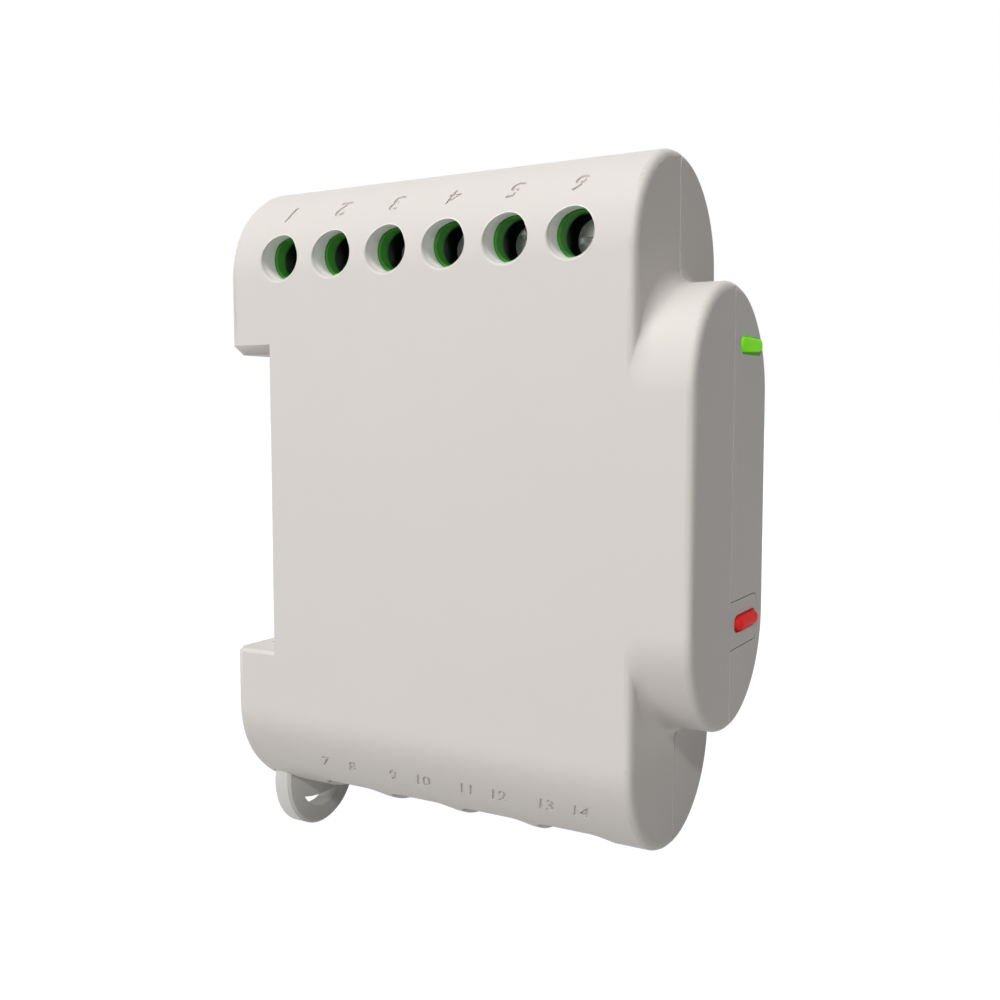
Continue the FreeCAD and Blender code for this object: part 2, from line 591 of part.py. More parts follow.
def main_board():
    """The large board, with an ear in the upper lip and a tab that reaches the front board."""
    rear, front = -WALL - BOARD_EDGE_GAP, FRONT_Y + WALL + BOARD_EDGE_GAP
    shape = block(BOARD_X, BOARD_BACK_X, rear, front, -BOARD_HALF_HEIGHT, BOARD_HALF_HEIGHT)
    tab = block(BOARD_X, BOARD_BACK_X, rear, FRONT_BOARD_Y + FRONT_BOARD_THICKNESS,
                -TAB_HALF_HEIGHT, TAB_HALF_HEIGHT)
    ear = block(BOARD_X, BOARD_BACK_X, front, BLOCK_END_Y, EAR_BOTTOM_Z, BOARD_HALF_HEIGHT)
    shape = shape.fuse([tab, ear]).removeSplitter()
    for y, z in POST_PLACES:
        shape = shape.cut(rod_x(PEG_RADIUS + PEG_CLEARANCE, 0, HALF_WIDTH, y, z))
    half = PIN_SIDE / 2 + PIN_HOLE_CLEARANCE
    for index in range(SOCKET_COUNT):
        for place in pin_places(index):
            z = pin_turn_z() - PIN_SIDE / 2
            shape = shape.cut(block(0, FAR, place.y - half, place.y + half, z - half, z + half))
    return shape


def terminal_block():
    """One six-pole block: a ridge with the screw wells, and a pocket below for each cage."""
    shape = block(BLOCK_FACE_X, BOARD_X, BLOCK_END_Y, BLOCK_END_Y - BLOCK_LENGTH, BLOCK_BOTTOM_Z, BLOCK_TOP_Z)
    far_edges = [e for e in edges_in_plane(shape, "X", BLOCK_FACE_X)]
    shape = shape.makeChamfer(BLOCK_EDGE, far_edges)
    wall_z = HALF_HEIGHT - HALF_WIDTH
    reach = Part.makeCylinder(INNER_HALF_WIDTH - RIDGE_CLEARANCE, FAR, V(0, FAR / 2, wall_z), V(0, -1, 0))
    ridge = block(SCREW_RIB_X + RIDGE_CLEARANCE, BLOCK_FACE_X + 1,
                  BLOCK_END_Y - 1, BLOCK_END_Y + 1 - BLOCK_LENGTH,
                  SCREW_Z - RIDGE_HALF_HEIGHT, SCREW_Z + RIDGE_HALF_HEIGHT)
    shape = shape.fuse(ridge.common(reach))
    for index in range(TERMINAL_COUNT):
        y = terminal_y(index)
        side = CAGE_WIDTH / 2 + CAGE_CLEARANCE
        well = rod_x(WELL_RADIUS, -FAR, CAVITY_X + 1, y, SCREW_Z)
        cavity = block(CAVITY_X, LEDGE_X, y - CAVITY_HALF, y + CAVITY_HALF,
                       SCREW_Z - CAVITY_HALF, SCREW_Z + CAVITY_HALF)
        shaft = rod_x(SHAFT_RADIUS + RUNNING_CLEARANCE, LEDGE_X - 1, 0, y, SCREW_Z)
        pocket = block(CAGE_OUTER_X - CAGE_TRAVEL - CAGE_CLEARANCE, CAGE_FLOOR_X + CAGE_WALL + CAGE_CLEARANCE,
                       y - side, y + side, -FAR, SCREW_Z + CAGE_DEPTH / 2 + CAGE_CLEARANCE)
        middle = BAR_FACE_X + BAR_THICKNESS + WIRE_GAP / 2
        hole = Part.makeCylinder(WIRE_HOLE_RADIUS, FAR, V(middle, y, SCREW_Z))
        shape = shape.cut([well, cavity, shaft, pocket, hole])
    return shape.removeSplitter()


def terminal_screw(index):
    """A clamping screw: its head, a plain shank and a recess for a flat or cross driver."""
    y = terminal_y(index)
    seat = LEDGE_X - RUNNING_CLEARANCE
    head = rod_x(HEAD_RADIUS, seat - HEAD_THICKNESS, seat, y, SCREW_Z)
    shape = head.fuse(rod_x(SHAFT_RADIUS, seat, BAR_FACE_X - BAR_TO_CAGE, y, SCREW_Z)).removeSplitter()
    top = seat - HEAD_THICKNESS
    across = block(top - 1, top + DRIVE_DEPTH, y - SLOT_LENGTH / 2, y + SLOT_LENGTH / 2,
                   SCREW_Z - DRIVE_WIDTH / 2, SCREW_Z + DRIVE_WIDTH / 2)
    upright = block(top - 1, top + DRIVE_DEPTH, y - DRIVE_WIDTH / 2, y + DRIVE_WIDTH / 2,
                    SCREW_Z - DRIVE_LENGTH / 2, SCREW_Z + DRIVE_LENGTH / 2)
    recess = across.fuse(upright)
    recess.rotate(V(top, y, SCREW_Z), V(1, 0, 0), DRIVE_TURNS[index])
    return shape.cut(recess)


def wire_cage(index):
    """The square loop that the screw pulls up, so that it presses the wire on the bar."""
    y, half, depth = terminal_y(index), CAGE_WIDTH / 2, CAGE_DEPTH / 2
    outside = block(CAGE_OUTER_X, CAGE_FLOOR_X + CAGE_WALL, y - half, y + half,
                    SCREW_Z - depth, SCREW_Z + depth)
    side = half - CAGE_SIDE_WALL
    inside = block(CAGE_OUTER_X + CAGE_WALL, CAGE_FLOOR_X, y - side, y + side, -FAR, FAR)
    nut = rod_x(SHAFT_RADIUS + RUNNING_CLEARANCE, CAGE_OUTER_X - 1, BAR_FACE_X, y, SCREW_Z)
    return outside.cut([inside, nut])


def contact_bar(index):
    """The fixed bar that the wire is pressed on, with shoulders in the block and a foot on the board."""
    y, half = terminal_y(index), BAR_WIDTH / 2
    rear = BAR_FACE_X + BAR_THICKNESS
    side = CAGE_WIDTH / 2 + CAGE_CLEARANCE
    top = SCREW_Z + CAGE_DEPTH / 2
    plate = block(BAR_FACE_X, rear, y - half, y + half, BLOCK_BOTTOM_Z, top)
    shoulder_top = BLOCK_BOTTOM_Z + BAR_SHOULDER_HEIGHT
    shoulder = block(BAR_FACE_X, rear, y - side, y + side, BLOCK_BOTTOM_Z, shoulder_top)
    foot = block(BAR_FACE_X, BOARD_X, y - half, y + half, BLOCK_BOTTOM_Z - BAR_THICKNESS, BLOCK_BOTTOM_Z)
    return plate.fuse([shoulder, foot]).removeSplitter()


def sensor_socket(index):
    """A two-pin plug socket that faces down, with a foot that stands on the board."""
    y, half, side = socket_y(index), SOCKET_LENGTH / 2, SOCKET_WIDTH / 2
    top = socket_floor_z() + SOCKET_FLOOR
    corner = SOCKET_CORNER - SOCKET_CLEARANCE
    shape = block(SOCKET_X - side, SOCKET_X + side, y - half, y + half, SOCKET_MOUTH_Z, top)
    shape = shape.makeChamfer(corner, [e for e in shape.Edges if e.BoundBox.ZLength > SOCKET_DEPTH])
    half_in, side_in = half - SOCKET_WALL, side - SOCKET_WALL
    foot = block(0, BOARD_X, y - half_in, y + half_in, -BOARD_HALF_HEIGHT + 1, top)
    cavity = block(SOCKET_X - side_in, SOCKET_X + side_in, y - half_in, y + half_in, -FAR, socket_floor_z())
    shape = shape.fuse(foot).cut(cavity)
    hole = PIN_SIDE / 2
    for place in pin_places(index):
        shape = shape.cut(block(place.x - hole, place.x + hole, place.y - hole, place.y + hole,
                                SOCKET_MOUTH_Z, FAR))
    return shape.removeSplitter()


def socket_pins(index):
    """Two square pins, each bent over above the socket and led through the board."""
    half, tip_z, shapes = PIN_SIDE / 2, socket_floor_z() - PIN_LENGTH, []
    for place in pin_places(index):
        upright = block(place.x - half, place.x + half, place.y - half, place.y + half, tip_z, pin_turn_z())
        tip = edges_in_plane(upright, "Z", tip_z)
        upright = upright.makeChamfer(PIN_SIDE / 4, tip)
        across = block(place.x - half, BOARD_BACK_X + PIN_THROUGH, place.y - half, place.y + half,
                       pin_turn_z() - PIN_SIDE, pin_turn_z())
        shapes.append(upright.fuse(across).removeSplitter())
    return Part.makeCompound(shapes)


def transformer_core():
    """The frame of the supply's transformer: two windows round a middle limb."""
    y0, y1 = CORE_Y - CORE_SPAN / 2, CORE_Y + CORE_SPAN / 2
    z0, z1 = CORE_Z - CORE_STACK / 2, CORE_Z + CORE_STACK / 2
    shape = block(BOARD_X - CORE_RISE, BOARD_X, y0, y1, z0, z1)
    low, high = BOARD_X - CORE_RISE + CORE_LIMB, BOARD_X - CORE_LIMB
    for a, b in ((y0 + CORE_LIMB, CORE_Y - CORE_LIMB), (CORE_Y + CORE_LIMB, y1 - CORE_LIMB)):
        shape = shape.cut(block(low, high, a, b, -FAR, FAR))
    return shape


def transformer_winding():
    """The coil that fills the windows and passes round the middle limb."""
    low, high = BOARD_X - CORE_RISE + CORE_LIMB + WINDING_MARGIN, BOARD_X - CORE_LIMB - WINDING_MARGIN
    reach = CORE_SPAN / 2 - CORE_LIMB - WINDING_MARGIN
    shape = rounded_box(low, high, CORE_Y - reach, CORE_Y + reach, CORE_Z - WINDING_STACK / 2,
                        CORE_Z + WINDING_STACK / 2, 1.2, "X")
    limb = block(low - 1, high + 1, CORE_Y - CORE_LIMB, CORE_Y + CORE_LIMB,
                 CORE_Z - CORE_STACK / 2, CORE_Z + CORE_STACK / 2)
    return shape.cut(limb)


def capacitor(index):
    z = CAPACITOR_Z - index * CAPACITOR_SPACING
    shape = rod_x(CAPACITOR_RADIUS, BOARD_X - CAPACITOR_RISE, BOARD_X, CAPACITOR_Y, z)
    return shape.makeChamfer(CAPACITOR_EDGE, edges_in_plane(shape, "X", BOARD_X - CAPACITOR_RISE))


def metering_chip():
    half = CHIP_SIDE / 2
    return block(BOARD_X - CHIP_RISE, BOARD_X, CHIP_Y - half, CHIP_Y + half, CHIP_Z - half, CHIP_Z + half)


def radio_board():
    return block(BOARD_X - RADIO_BOARD, BOARD_X, RADIO_Y - RADIO_LENGTH / 2, RADIO_Y + RADIO_LENGTH / 2,
                 RADIO_Z - RADIO_HEIGHT / 2, RADIO_Z + RADIO_HEIGHT / 2)


def radio_shield():
    base, half = BOARD_X - RADIO_BOARD, RADIO_HEIGHT / 2 - SHIELD_MARGIN
    y1 = RADIO_Y + RADIO_LENGTH / 2 - SHIELD_MARGIN
    shape = block(base - SHIELD_RISE, base, y1 - SHIELD_LENGTH, y1, RADIO_Z - half, RADIO_Z + half)
    return shape.makeChamfer(SHIELD_EDGE, edges_in_plane(shape, "X", base - SHIELD_RISE))


def varistor():
    start = V(BOARD_X - VARISTOR_RADIUS, VARISTOR_Y - VARISTOR_THICKNESS / 2, VARISTOR_Z)
    shape = Part.makeCylinder(VARISTOR_RADIUS, VARISTOR_THICKNESS, start, V(0, 1, 0))
    return shape.makeChamfer(VARISTOR_EDGE, [e for e in shape.Edges if e.BoundBox.YLength < 0.01])


def fuse_resistor():
    """A lying resistor with a small foot at each end that keeps it off the board."""
    x = BOARD_X - FUSE_STANDOFF - FUSE_RADIUS
    shape = Part.makeCylinder(FUSE_RADIUS, FUSE_LENGTH, V(x, FUSE_Y, FUSE_Z - FUSE_LENGTH / 2), V(0, 0, 1))
    for end in (-1, 1):
        z = FUSE_Z + end * (FUSE_LENGTH / 2 - 1)
        shape = shape.fuse(block(x, BOARD_X, FUSE_Y - 0.4, FUSE_Y + 0.4, z - 0.4, z + 0.4))
    return shape.removeSplitter()


def link_header():
    rear = FRONT_Y + WALL + BOARD_EDGE_GAP
    return block(BOARD_X - HEADER_RISE, BOARD_X, rear, FRONT_BOARD_Y + FRONT_BOARD_THICKNESS,
                 -HEADER_HEIGHT / 2, HEADER_HEIGHT / 2)


def build():
    both = housing_with_fittings()
    parts = {
        "left_shell": left_shell(both),
        "right_shell": right_shell(both),
        "rail_clip": rail_clip(),
        "clip_spring": clip_spring(),
        "light_guide": front_bar(LIGHT_X, LIGHT_Z, LIGHT_PROUD, FRONT_BOARD_Y - LED_HEIGHT - LED_GAP),
        "reset_button": front_bar(BUTTON_X, BUTTON_Z, BUTTON_PROUD, FLANGE_REAR_Y),
        "switch_plunger": switch_plunger(),
        "switch_body": switch_body(),
        "status_led": status_led(),
        "front_board": front_board(),
        "link_header": link_header(),
        "main_board": main_board(),
        "terminal_block": terminal_block(),
        "transformer_core": transformer_core(),
        "transformer_winding": transformer_winding(),
        "metering_chip": metering_chip(),
        "radio_board": radio_board(),
        "radio_shield": radio_shield(),
        "varistor": varistor(),
        "fuse_resistor": fuse_resistor(),
    }
    for index in range(2):
        parts["capacitor_%d" % (index + 1)] = capacitor(index)
    for index in range(TERMINAL_COUNT):
        parts["terminal_screw_%d" % (index + 1)] = terminal_screw(index)
        parts["wire_cage_%d" % (index + 1)] = wire_cage(index)
        parts["contact_bar_%d" % (index + 1)] = contact_bar(index)
    for index in range(SOCKET_COUNT):
        parts["sensor_socket_%d" % (index + 1)] = sensor_socket(index)
        parts["socket_pins_%d" % (index + 1)] = socket_pins(index)
    return parts


os.makedirs("parts", exist_ok=True)
for name, shape in build().items():
    shape.exportStep("parts/" + name + ".step")
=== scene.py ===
import json
import math
import bmesh
import bpy
import numpy as np
from mathutils import Matrix, Vector


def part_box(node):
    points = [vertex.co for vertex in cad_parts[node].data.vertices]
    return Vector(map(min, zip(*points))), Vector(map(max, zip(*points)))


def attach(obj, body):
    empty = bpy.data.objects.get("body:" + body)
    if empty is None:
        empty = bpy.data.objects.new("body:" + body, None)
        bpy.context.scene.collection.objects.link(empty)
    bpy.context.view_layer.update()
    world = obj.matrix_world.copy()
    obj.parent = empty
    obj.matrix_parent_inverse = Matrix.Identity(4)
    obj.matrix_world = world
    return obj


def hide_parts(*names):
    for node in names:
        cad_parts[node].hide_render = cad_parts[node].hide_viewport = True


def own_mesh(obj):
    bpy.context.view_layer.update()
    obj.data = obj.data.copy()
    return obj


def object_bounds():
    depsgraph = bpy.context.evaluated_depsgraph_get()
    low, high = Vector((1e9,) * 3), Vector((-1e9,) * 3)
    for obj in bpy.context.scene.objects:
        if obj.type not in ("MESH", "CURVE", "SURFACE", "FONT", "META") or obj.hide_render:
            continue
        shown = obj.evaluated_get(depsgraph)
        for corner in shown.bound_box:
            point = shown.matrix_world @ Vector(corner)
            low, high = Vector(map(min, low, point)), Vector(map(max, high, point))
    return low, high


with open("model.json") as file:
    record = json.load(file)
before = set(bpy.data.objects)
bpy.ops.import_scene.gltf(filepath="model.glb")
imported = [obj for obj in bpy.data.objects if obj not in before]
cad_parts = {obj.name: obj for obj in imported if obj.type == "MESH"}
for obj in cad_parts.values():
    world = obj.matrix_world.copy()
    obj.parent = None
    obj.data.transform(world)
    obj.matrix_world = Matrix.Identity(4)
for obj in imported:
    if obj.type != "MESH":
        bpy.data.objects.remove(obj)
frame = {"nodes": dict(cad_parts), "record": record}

CAD_BOUNDS = [list(corner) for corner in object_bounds()]
MM = 0.001

# Places and sizes on the housing that the surface pieces and patterns follow, in metres
HALF_WIDTH = 13.75 * MM
BODY_END_Z = 30.75 * MM
NOSE_END_Z = 14.25 * MM
FRONT_Y, NOSE_Y, REAR_Y = -55.3 * MM, -62.6 * MM, 7.8 * MM
FRONT_ROUND, REAR_ROUND, ROOT_ROUND = 1.3 * MM, 2.2 * MM, 2.0 * MM
TERMINAL_PITCH, SOCKET_PITCH = 9.0 * MM, 11.75 * MM
TERMINAL_Y = [-1.6 * MM - TERMINAL_PITCH * i for i in range(6)]
SCREW_Z, SCREW_HOLE = 33.4 * MM, 3.1 * MM
WIRE_X, WIRE_HOLE = 4.0 * MM, 3.2 * MM
SOCKET_Y = [-9.0 * MM - SOCKET_PITCH * i for i in range(4)]
SOCKET_X, SOCKET_SPAN, SOCKET_CORNER = -1.3 * MM, (6.4 * MM, 4.6 * MM), 1.6 * MM
BUTTON_Z, TONGUE_HALF_HEIGHT = -14.9 * MM, 3.05 * MM

# Each rounded edge is three flat strips, which turn by this many degrees at either end and by
# twice as many between them
HALF_STRIP = 11.25

# Where the colours change, in metres, among them the painted highlight on the front seam, the
# painted light in the screw bores and the painted shade in the screw wells. A pair is where a
# change starts and where it ends.
SEAM_WIDTH, SEAM_BACK = (0.10 * MM, 0.17 * MM), (-54.4 * MM, -54.2 * MM)
BORE_RADIUS, BORE_MOUTH, BORE_END = (3.12 * MM, 3.3 * MM), (-13.6 * MM, -12.6 * MM), -9 * MM
WELL_RADIUS, WELL_MOUTH = (4.7 * MM, 4.8 * MM), (-9.2 * MM, -8.6 * MM)
GLOW_X, GLOW_HALF_LENGTH, GLOW_HALF_HEIGHT = 6.6 * MM, 4.6 * MM, 1.1 * MM
STRIPE_X, STRIPE_Y, STRIPE_HALF_WIDTH = -4.6 * MM, -34.5 * MM, 0.9 * MM

# Colours of the housing, with the painted highlight on its seam and the painted light in its bores,
# and of the terminal block at its collars and, as painted shade, in its wells
HOUSING = (0.718, 0.682, 0.643)
SEAM_PAINTED_HIGHLIGHT, BORE_PAINTED_LIGHT = (0.95, 0.93, 0.90), (0.95, 0.94, 0.91)
GREEN, PAINTED_SHADE_GREEN = (0.055, 0.34, 0.035), (0.008, 0.022, 0.010)
SLEEVE_BLACK = (0.03, 0.03, 0.035)

# Cells per metre of the noises that the plastics share, and of the patches on metal
CLOUD, SPECKLE, GRAIN = 90, 1500, 5200
PATCH, FINE_PATCH, DRAWN_LINES = 400, 700, 3600
# How closely a pattern's stripes follow each other, in radians per metre
TRACKS, SCREW_RINGS, TAPE_TURNS = 5200, 42000, 4200


class Value:
    """A number on a material's socket: Python's operators add the Math nodes."""

    def __init__(self, finish, socket):
        self.finish, self.socket = finish, socket

    def math(self, operation, *others):
        return self.finish.node("Math", {"operation": operation}, [self, *others])

    def __add__(self, other):
        return self.math("ADD", other)

    def __mul__(self, other):
        return self.math("MULTIPLY", other)

    def __sub__(self, other):
        return self.math("SUBTRACT", other)

    def __rsub__(self, other):
        return self.finish.node("Math", {"operation": "SUBTRACT"}, [other, self])

    def __truediv__(self, other):
        return self.math("DIVIDE", other)

    def __pow__(self, other):
        return self.math("POWER", other)

    __radd__, __rmul__ = __add__, __mul__

    def size(self):
        """The number without its sign."""
        return self.math("ABSOLUTE")

    def ramp(self, low, high):
        """0 below low, 1 above high, and smooth between them."""
        settings = {"interpolation_type": "SMOOTHSTEP"}
        limits = {"Value": self, "From Min": low, "From Max": high}
        return self.finish.node("MapRange", settings, limits)


class Finish:
    """A procedural material round one Principled shader."""

    def __init__(self, name, color, roughness, **constants):
        self.material = bpy.data.materials.new(name)
        self.material.use_nodes = True
        self.tree = self.material.node_tree
        self.shader = self.tree.nodes["Principled BSDF"]
        self.shader.inputs["Base Color"].default_value = (*color, 1)
        self.shader.inputs["Roughness"].default_value = roughness
        for socket, value in constants.items():
            self.shader.inputs[socket.replace("_", " ")].default_value = value

    def node(self, kind, settings=None, inputs=(), output=0):
        """One node: its settings first, then the values or links of its sockets."""
        made = self.tree.nodes.new("ShaderNode" + kind)
        for key, value in (settings or {}).items():
            setattr(made, key, value)
        for key, value in (inputs.items() if isinstance(inputs, dict) else enumerate(inputs)):
            self.feed(made.inputs[key], value)
        return Value(self, made.outputs[output])

    def feed(self, socket, value):
        if isinstance(value, Value):
            self.tree.links.new(value.socket, socket)
        elif hasattr(value, "__len__") and socket.type == "RGBA":
            socket.default_value = (*value, 1)[:4]
        else:
            socket.default_value = value

    def place(self):
        return self.node("TexCoord", output="Object")

    def noise(self, scale, detail=2.0, roughness=0.5, stretch=None):
        """Noise from 0 to 1, with scale in cells per metre, drawn out where stretch is above 1."""
        place = self.place()
        if stretch:
            shrink = [1 / s for s in stretch]
            place = self.node("VectorMath", {"operation": "MULTIPLY"}, [place, shrink])
        inputs = {"Vector": place, "Scale": scale, "Detail": detail, "Roughness": roughness}
        return self.node("TexNoise", {}, inputs)

    def axes(self):
        """The place on the object as its three numbers."""
        split = self.tree.nodes.new("ShaderNodeSeparateXYZ")
        self.tree.links.new(self.place().socket, split.inputs[0])
        return [Value(self, output) for output in split.outputs]

    def mix(self, factor, a, b):
        """The colour a where the factor is 0 and b where it is 1."""
        made = self.tree.nodes.new("ShaderNodeMix")
        made.data_type = "RGBA"
        for key, value in ((0, factor), (6, a), (7, b)):
            self.feed(made.inputs[key], value)
        return Value(self, made.outputs[2])

    def color(self, value):
        self.feed(self.shader.inputs["Base Color"], value)

    def rough(self, value):
        self.feed(self.shader.inputs["Roughness"], value)

    def glow(self, value, strength):
        self.feed(self.shader.inputs["Emission Color"], value)
        self.shader.inputs["Emission Strength"].default_value = strength

    def bump(self, height, distance):
        """Relief: height from 0 to 1 stands for distance in metres."""
        relief = self.node("Bump", {}, {"Strength": 1.0, "Distance": distance, "Height": height})
        self.feed(self.shader.inputs["Normal"], relief)


def tinted(color, factor):
    """A colour made darker or lighter by a factor, and never above white."""
    return [min(1.0, c * factor) for c in color]


def moulded(name, color, roughness, grain=0.010, tint=0.03, **constants):
    """Moulded plastic: fine spark-eroded grain, faint cloudiness and small differences in gloss."""
    made = Finish(name, color, roughness, **constants)
    cloud = made.noise(CLOUD, 3.0)
    fine = made.noise(GRAIN, 2.0, 0.6)
    dark, light = tinted(color, 1 - tint), tinted(color, 1 + tint)
    made.plain = made.mix(cloud * 0.7 + fine * 0.3, dark, light)
    made.color(made.plain)
    made.rough(roughness - 0.05 + fine * 0.06 + cloud * 0.04)
    made.bump(fine * 0.7 + made.noise(SPECKLE, 1.0) * 0.3, grain * MM)
    return made


def plated(name, color, roughness, stretch=(1, 1, 1)):
    """Plated metal: fine drawn lines, with duller and brighter patches."""
    made = Finish(name, color, roughness, Metallic=1.0)
    lines = made.noise(DRAWN_LINES, 2.0, 0.6, stretch)
    patch = made.noise(PATCH, 3.0)
    made.color(made.mix(patch, tinted(color, 0.88), color))
    made.rough(roughness - 0.08 + lines * 0.12 + patch * 0.06)
    made.bump(lines, 0.004 * MM)
    return made


def lacquered_board(name, color):
    """Circuit board lacquer over faint copper tracks that run up and along the board."""
    made = Finish(name, color, 0.3, Coat_Weight=0.3, Coat_Roughness=0.15)
    x, y, z = made.axes()
    block = made.noise(160, 0.0)
    rows, columns = [(axis * TRACKS).math("SINE").ramp(0.55, 0.75) for axis in (z, y)]
    along = rows * block.ramp(0.5, 0.52)
    up = columns * (1 - block.ramp(0.46, 0.48))
    track = along.math("MAXIMUM", up)
    made.color(made.mix(track, color, [c * 1.5 + 0.01 for c in color]))
    made.bump(track, 0.03 * MM)
    return made


def screw_radius(made):
    """The place along X, and the distance from the axis of the nearest screw."""
    x, y, z = made.axes()
    across = (y - TERMINAL_Y[0]) / TERMINAL_PITCH
    nearest = across.math("ROUND").math("MINIMUM", 0.0).math("MAXIMUM", 1.0 - len(TERMINAL_Y))
    across = (across - nearest) * TERMINAL_PITCH
    return x, (across ** 2 + (z - SCREW_Z) ** 2) ** 0.5


def shell_plastic():
    """The housing's plastic, with a painted highlight where the halves meet along the front and
    painted light in the screw holes.
    """
    made = moulded("housing_plastic", HOUSING, 0.46, 0.010, 0.018, Specular_IOR_Level=0.2)
    x, y, z = made.axes()
    # Painted highlight: a pale stripe along the front seam, where the edges of its groove would
    # catch the light
    on_front = 1 - y.ramp(*SEAM_BACK)
    off_tongue = (z - BUTTON_Z).size().math("GREATER_THAN", TONGUE_HALF_HEIGHT)
    seam_highlight = (1 - x.size().ramp(*SEAM_WIDTH)) * on_front * off_tongue
    depth, radius = screw_radius(made)
    # Painted light: the walls of the screw bores are made pale, as if lit deep inside
    in_wall = depth.ramp(*BORE_MOUTH) * depth.math("LESS_THAN", BORE_END)
    bore = (1 - radius.ramp(*BORE_RADIUS)) * in_wall
    made.color(made.mix(bore, made.mix(seam_highlight, made.plain, SEAM_PAINTED_HIGHLIGHT), BORE_PAINTED_LIGHT))
    return made


def terminal_plastic():
    """Green moulded plastic: its own green on the collars, and painted shade deep in the screw
    wells.
    """
    made = moulded("terminal_green", GREEN, 0.42, 0.012, 0.08)
    x, radius = screw_radius(made)
    # Painted shade: near-black green deep in the screw wells, where the cavity lies in shadow
    deep = x.ramp(*WELL_MOUTH) * (1 - radius.ramp(*WELL_RADIUS))
    bright = made.mix(made.noise(FINE_PATCH, 3.0), tinted(GREEN, 0.92), GREEN)
    made.color(made.mix(deep, bright, PAINTED_SHADE_GREEN))
    return made


def machined_screw():
    """Nickel plating with the fine rings that turning leaves on the head."""
    made = Finish("nickel_plated_screw", (0.92, 0.91, 0.89), 0.3, Metallic=0.55)
    x, radius = screw_radius(made)
    rings = (radius * SCREW_RINGS).math("SINE") * 0.5 + 0.5
    patch = made.noise(FINE_PATCH, 3.0)
    made.color(made.mix(patch, (0.84, 0.83, 0.81), (0.95, 0.94, 0.92)))
    made.rough(0.22 + patch * 0.14 + rings * 0.05)
    made.bump(rings * 0.5 + patch * 0.5, 0.006 * MM)
    return made


def lit_guide():
    """Clear tinted plastic with the lamp's glow in it, paler at the middle of the bar."""
    made = Finish("lit_green_guide", (0.25, 0.80, 0.03), 0.55, Specular_IOR_Level=0.05)
    x, y, z = made.axes()
    middle = 1 - ((x - GLOW_X) / GLOW_HALF_LENGTH).size().ramp(0.0, 1.0)
    cloud = made.noise(900, 2.0)
    made.color(made.mix(cloud, (0.22, 0.74, 0.02), (0.28, 0.86, 0.04)))
    made.glow(made.mix(middle * 0.8 + cloud * 0.2, (0.17, 0.85, 0.005), (0.28, 1.0, 0.02)), 0.3)
    made.bump(cloud, 0.01 * MM)
    return made


def red_button_painted_glow():
    """Red plastic with a faint painted glow, and a painted highlight along its middle."""
    made = moulded("red_button", (0.72, 0.03, 0.028), 0.55, 0.008, 0.06, Specular_IOR_Level=0.08)
    x, y, z = made.axes()
    # Painted glow and painted highlight: the emission is stronger along the middle of the bar
    middle = 1 - ((z - BUTTON_Z) / GLOW_HALF_HEIGHT).size().ramp(0.0, 1.0)
    made.glow(made.mix(middle, (0.7, 0.004, 0.004), (1.0, 0.03, 0.02)), 0.2)
    return made


def wound_tape():
    """Yellow tape over a coil: the edges of its turns show as fine steps."""
    made = Finish("coil_tape", (0.80, 0.60, 0.10), 0.35)
    x, y, z = made.axes()
    wrap = (x * TAPE_TURNS).math("SINE").ramp(0.2, 0.9)
    made.color(made.mix(wrap, (0.70, 0.50, 0.07), (0.86, 0.66, 0.14)))
    made.bump(wrap, 0.05 * MM)
    return made


def sleeve():
    """A capacitor's shrunk sleeve: dark, glossy, with one pale stripe on the side towards +X."""
    made = Finish("capacitor_sleeve", SLEEVE_BLACK, 0.3, Coat_Weight=0.3)
    x, y, z = made.axes()
    stripe = (y - STRIPE_Y).size().math("LESS_THAN", STRIPE_HALF_WIDTH)
    near_side = 1 - (x - STRIPE_X).math("LESS_THAN", 0.0)
    made.color(made.mix(stripe * near_side, SLEEVE_BLACK, (0.5, 0.5, 0.5)))
    made.bump(made.noise(800, 2.0), 0.02 * MM)
    return made


FINISHES = {
    "housing_plastic": shell_plastic(),
    "clip_plastic": moulded("clip_plastic", (0.76, 0.745, 0.71), 0.42, 0.012, 0.03),
    "spring_steel": plated("spring_steel", (0.60, 0.60, 0.61), 0.3),
    "light_green": lit_guide(),
    "button_red": red_button_painted_glow(),
    "plunger_plastic": moulded("dark_plunger", (0.035, 0.035, 0.035), 0.5),
    "switch_metal": plated("switch_cover", (0.62, 0.62, 0.62), 0.35),
    "led_white": moulded("lamp_body", (0.85, 0.85, 0.78), 0.25, 0.004),
    "board_green": lacquered_board("green_board", (0.02, 0.13, 0.05)),
    "black_plastic": moulded("black_plastic", (0.03, 0.03, 0.03), 0.45),
    "terminal_green": terminal_plastic(),
    "ferrite": moulded("ferrite", (0.06, 0.06, 0.065), 0.6, 0.02, 0.12),
    "winding_tape": wound_tape(),
    "radio_blue": lacquered_board("blue_board", (0.02, 0.05, 0.20)),
    "shield_steel": plated("shield_steel", (0.70, 0.70, 0.69), 0.32, (1, 8, 1)),
    "varistor_blue": moulded("blue_dip", (0.05, 0.14, 0.45), 0.4, 0.04, 0.1),
    "resistor_green": moulded("green_dip", (0.20, 0.34, 0.22), 0.5, 0.04, 0.1),
    "capacitor_black": sleeve(),
    "screw_nickel": machined_screw(),
    "cage_zinc": plated("zinc_cage", (0.62, 0.62, 0.60), 0.38, (1, 1, 6)),
    "bar_tin": plated("tinned_bar", (0.72, 0.71, 0.69), 0.3, (1, 1, 10)),
    "pin_gold": plated("gold_pin", (0.83, 0.62, 0.24), 0.25, (1, 1, 8)),
}

for part in frame["record"]["subparts"]:
    node = frame["nodes"][part["node"]]
    node.data.materials.clear()
    node.data.materials.append(FINISHES[part["material_slot"]].material)


def in_scene(name, data):
    """A new object at the origin."""
    made = bpy.data.objects.new(name, data)
    bpy.context.scene.collection.objects.link(made)
    return made


